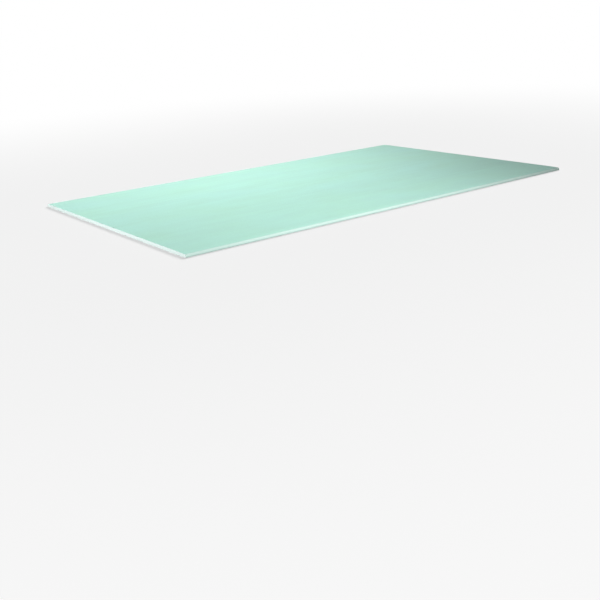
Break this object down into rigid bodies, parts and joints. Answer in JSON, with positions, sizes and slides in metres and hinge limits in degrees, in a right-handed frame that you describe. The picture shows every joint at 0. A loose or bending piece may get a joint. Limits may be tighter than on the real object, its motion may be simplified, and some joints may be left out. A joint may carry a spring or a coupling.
{
  "type": "drywall sheet",
  "caption": "Flat paper-lined gypsum sheet with half-round tapered long edges and square-sawn ends, for lining walls and ceilings.",
  "frame": {"origin": "middle of the back face, on the floor", "axes": "+X along the length between the sawn ends, +Y across the width between the wrapped long edges, +Z through the thickness from the back to the face"},
  "size_m": [2, 1.2, 0.0125],
  "materials": {
    "paper_liner": "matte"
  },
  "bodies": {
    "root": {"drywall_sheet": "paper_liner"}
  },
  "joints": []
}
